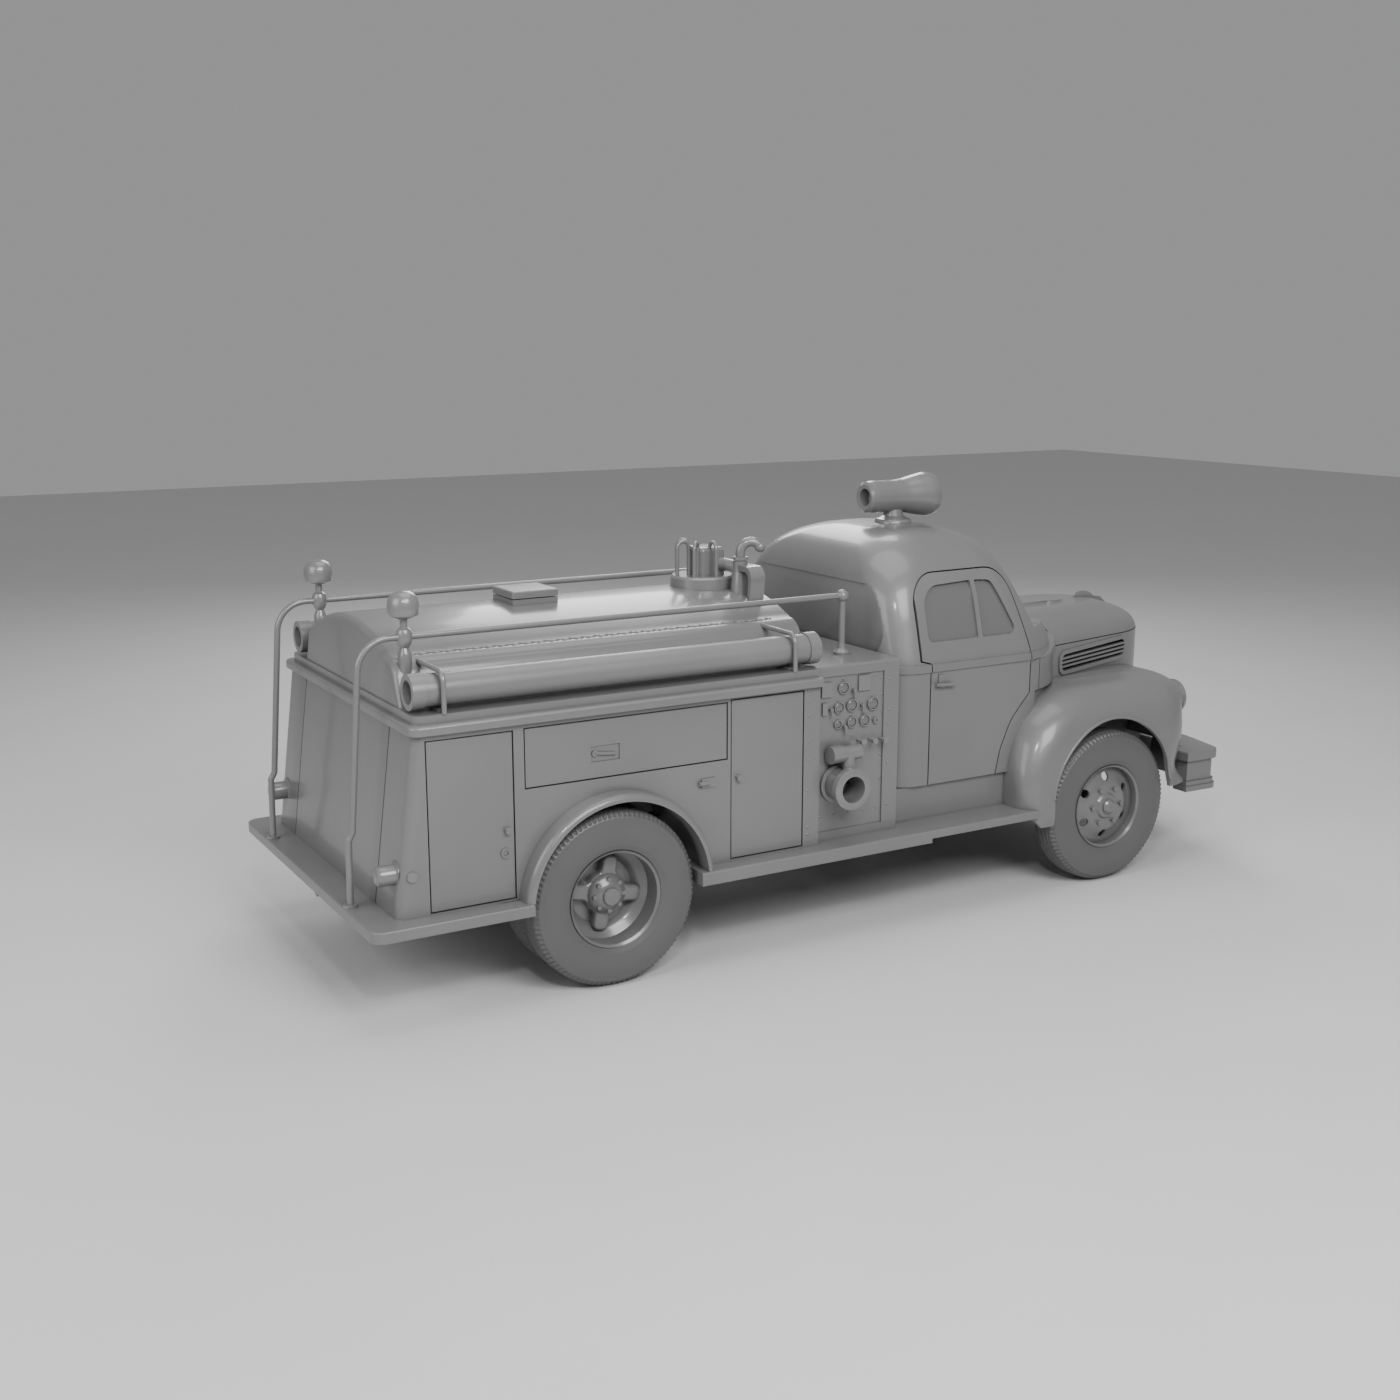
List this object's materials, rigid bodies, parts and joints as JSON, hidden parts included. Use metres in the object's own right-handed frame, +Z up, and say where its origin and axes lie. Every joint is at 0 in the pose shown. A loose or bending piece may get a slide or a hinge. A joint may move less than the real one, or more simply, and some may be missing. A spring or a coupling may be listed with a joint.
{
  "type": "fire engine",
  "caption": "Old-style fire pumper with a rounded cab, long hood, riveted pump panel, side lockers, covered hose bed, suction hoses, rails, roof siren and deck gun.",
  "frame": {"origin": "on the ground, under the middle of the bounding box", "axes": "+X forward, +Y to the left, +Z up"},
  "size_m": [5.92, 2.236, 2.5],
  "materials": {
    "body_paint": "satin",
    "step_paint": "satin",
    "bright_metal": "satin",
    "chassis_paint": "satin",
    "wheel_paint": "satin",
    "tyre_rubber": "matt",
    "hose_rubber": "matt",
    "seat_leather": "satin",
    "glass": "gloss"
  },
  "bodies": {
    "chassis": {"bench_seat": "seat_leather", "body_ledge": "body_paint", "bumper": "step_paint", "cab_shell": "body_paint", "drive_train": "chassis_paint", "frame_rails": "chassis_paint", "front_axle": "chassis_paint", "front_fenders": "body_paint", "grille": "bright_metal", "handrails": "bright_metal", "headlamps": "bright_metal", "hose_bed_cover": "body_paint", "hose_body": "body_paint", "hose_brackets": "bright_metal", "leaf_springs": "chassis_paint", "nose_shell": "body_paint", "pump_fittings": "bright_metal", "pump_house": "body_paint", "radiator": "chassis_paint", "rear_axle": "chassis_paint", "rear_fenders": "body_paint", "rear_lamps": "bright_metal", "roof_siren": "bright_metal", "running_boards": "step_paint", "seat_box": "body_paint", "steering_column": "chassis_paint", "suction_hoses": "hose_rubber", "tailboard": "step_paint", "turret_base": "bright_metal", "windscreen": "glass"},
    "hood": {"hood": "body_paint"},
    "fill_lid": {"fill_lid": "body_paint"},
    "deck_gun": {"deck_gun": "bright_metal"},
    "tie_rod": {"tie_rod": "chassis_paint"},
    "cab_door_left": {"cab_door_left": "body_paint", "door_glass_left": "glass"},
    "rear_door_left": {"rear_door_left": "body_paint"},
    "side_hatch_left": {"side_hatch_left": "body_paint"},
    "tall_door_left": {"tall_door_left": "body_paint"},
    "knuckle_left": {"knuckle_left": "chassis_paint"},
    "front_wheel_left": {"front_wheel_left": "wheel_paint", "front_tyre_left": "tyre_rubber"},
    "rear_wheels_left": {"rear_wheels_left": "wheel_paint", "rear_tyres_left": "tyre_rubber"},
    "cab_door_right": {"cab_door_right": "body_paint", "door_glass_right": "glass"},
    "rear_door_right": {"rear_door_right": "body_paint"},
    "side_hatch_right": {"side_hatch_right": "body_paint"},
    "tall_door_right": {"tall_door_right": "body_paint"},
    "knuckle_right": {"knuckle_right": "chassis_paint"},
    "front_wheel_right": {"front_wheel_right": "wheel_paint", "front_tyre_right": "tyre_rubber"},
    "rear_wheels_right": {"rear_wheels_right": "wheel_paint", "rear_tyres_right": "tyre_rubber"}
  },
  "joints": [
    {"name": "steer_left", "type": "hinge", "parent": "chassis", "child": "knuckle_left", "pos_m": [1.82, 0.85, 0.475], "axis": [0, 0, 1], "range_deg": [-30, 30]},
    {"name": "front_wheel_left_spin", "type": "hinge", "parent": "knuckle_left", "child": "front_wheel_left", "pos_m": [1.82, 0.973, 0.475], "axis": [0, 1, 0], "continuous": true},
    {"name": "rear_wheels_left_spin", "type": "hinge", "parent": "chassis", "child": "rear_wheels_left", "pos_m": [-1.63, 0.976, 0.475], "axis": [0, 1, 0], "continuous": true},
    {"name": "cab_door_left_hinge", "type": "hinge", "parent": "chassis", "child": "cab_door_left", "pos_m": [1.276, 0.915, 1.2], "axis": [0, 0, -1], "range_deg": [0, 65]},
    {"name": "rear_door_left_hinge", "type": "hinge", "parent": "chassis", "child": "rear_door_left", "pos_m": [-2.622, 1.004, 0.99], "axis": [0, 0, 1], "range_deg": [0, 110]},
    {"name": "side_hatch_left_hinge", "type": "hinge", "parent": "chassis", "child": "side_hatch_left", "pos_m": [-1.513, 1.004, 1.431], "axis": [1, 0, 0], "range_deg": [0, 85]},
    {"name": "tall_door_left_hinge", "type": "hinge", "parent": "chassis", "child": "tall_door_left", "pos_m": [-0.433, 1.004, 1], "axis": [0, 0, -1], "range_deg": [0, 95]},
    {"name": "steer_right", "type": "hinge", "parent": "chassis", "child": "knuckle_right", "pos_m": [1.82, -0.85, 0.475], "axis": [0, 0, 1], "range_deg": [-30, 30]},
    {"name": "front_wheel_right_spin", "type": "hinge", "parent": "knuckle_right", "child": "front_wheel_right", "pos_m": [1.82, -0.973, 0.475], "axis": [0, 1, 0], "continuous": true},
    {"name": "rear_wheels_right_spin", "type": "hinge", "parent": "chassis", "child": "rear_wheels_right", "pos_m": [-1.63, -0.976, 0.475], "axis": [0, 1, 0], "continuous": true},
    {"name": "cab_door_right_hinge", "type": "hinge", "parent": "chassis", "child": "cab_door_right", "pos_m": [1.276, -0.915, 1.2], "axis": [0, 0, 1], "range_deg": [0, 65]},
    {"name": "rear_door_right_hinge", "type": "hinge", "parent": "chassis", "child": "rear_door_right", "pos_m": [-2.622, -1.004, 0.99], "axis": [0, 0, -1], "range_deg": [0, 110]},
    {"name": "side_hatch_right_hinge", "type": "hinge", "parent": "chassis", "child": "side_hatch_right", "pos_m": [-1.513, -1.004, 1.431], "axis": [-1, 0, 0], "range_deg": [0, 85]},
    {"name": "tall_door_right_hinge", "type": "hinge", "parent": "chassis", "child": "tall_door_right", "pos_m": [-0.433, -1.004, 1], "axis": [0, 0, 1], "range_deg": [0, 95]},
    {"name": "tie_rod_pivot", "type": "hinge", "parent": "knuckle_left", "child": "tie_rod", "pos_m": [1.655, 0.85, 0.422], "axis": [0, 0, 1], "range_deg": [-30, 30]},
    {"name": "hood_hinge", "type": "hinge", "parent": "chassis", "child": "hood", "pos_m": [1.673, 0, 1.618], "axis": [0, -1, 0], "range_deg": [0, 50]},
    {"name": "fill_lid_hinge", "type": "hinge", "parent": "chassis", "child": "fill_lid", "pos_m": [-1.488, 0, 1.936], "axis": [0, 1, 0], "range_deg": [0, 100]},
    {"name": "deck_gun_traverse", "type": "hinge", "parent": "chassis", "child": "deck_gun", "pos_m": [-0.368, -0.225, 2.07], "axis": [0, 0, 1], "range_deg": [-130, 45]}
  ],
  "couplings": [
    {"joint": "steer_right", "follows": "steer_left", "ratio": 1},
    {"joint": "tie_rod_pivot", "follows": "steer_left", "ratio": -1}
  ]
}
